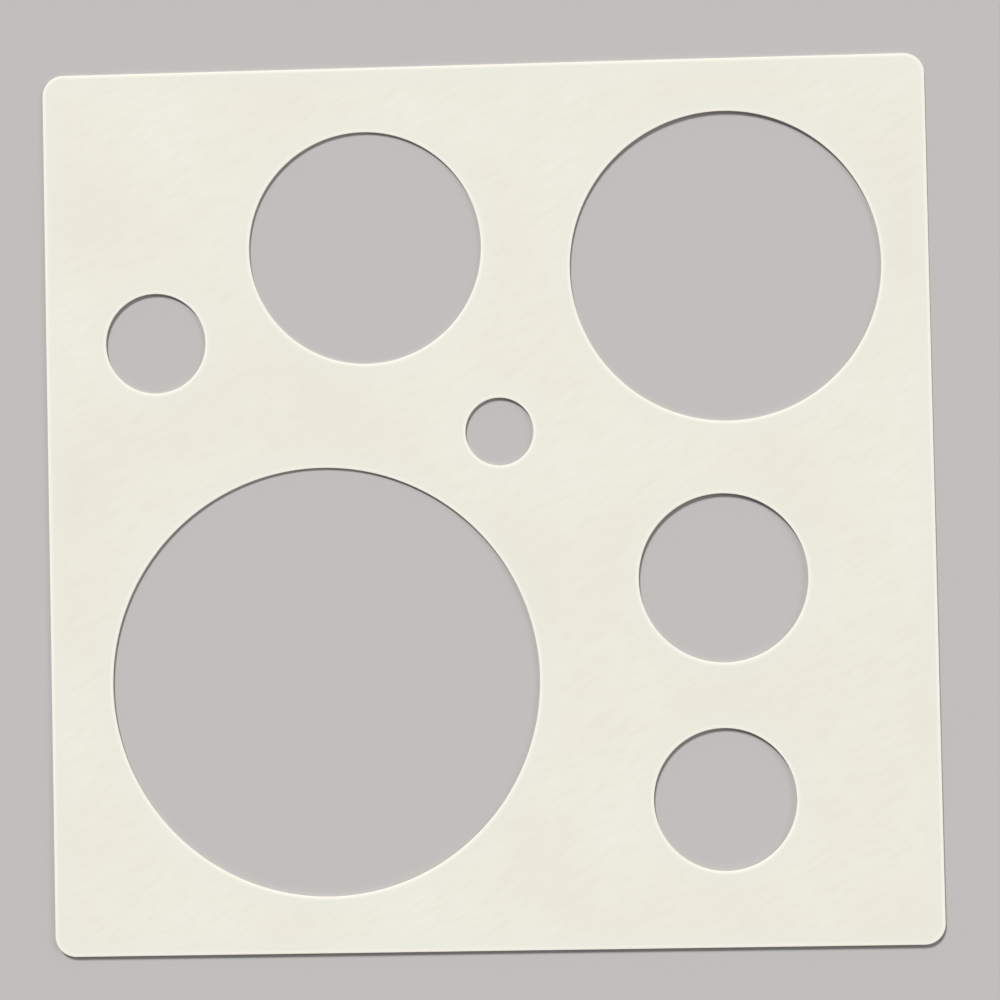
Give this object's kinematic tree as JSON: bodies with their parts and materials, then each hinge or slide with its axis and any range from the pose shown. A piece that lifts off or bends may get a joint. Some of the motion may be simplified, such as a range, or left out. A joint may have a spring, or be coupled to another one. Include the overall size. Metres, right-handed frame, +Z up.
{
  "type": "circle template",
  "caption": "Thin square sheet of stiff off-white plastic film with rounded corners and round holes of graded sizes, each a guide for drawing a circle with a pencil.",
  "frame": {"origin": "centre of the sheet's bottom face, which lies on the paper", "axes": "+Z up out of the sheet, +X to the user's right and +Y away from the user, with the largest circle at the front left"},
  "size_m": [0.15, 0.15, 0.0003],
  "materials": {
    "off_white_film": "satin, very faintly mottled"
  },
  "bodies": {
    "root": {"template_sheet": "off_white_film"}
  },
  "joints": []
}
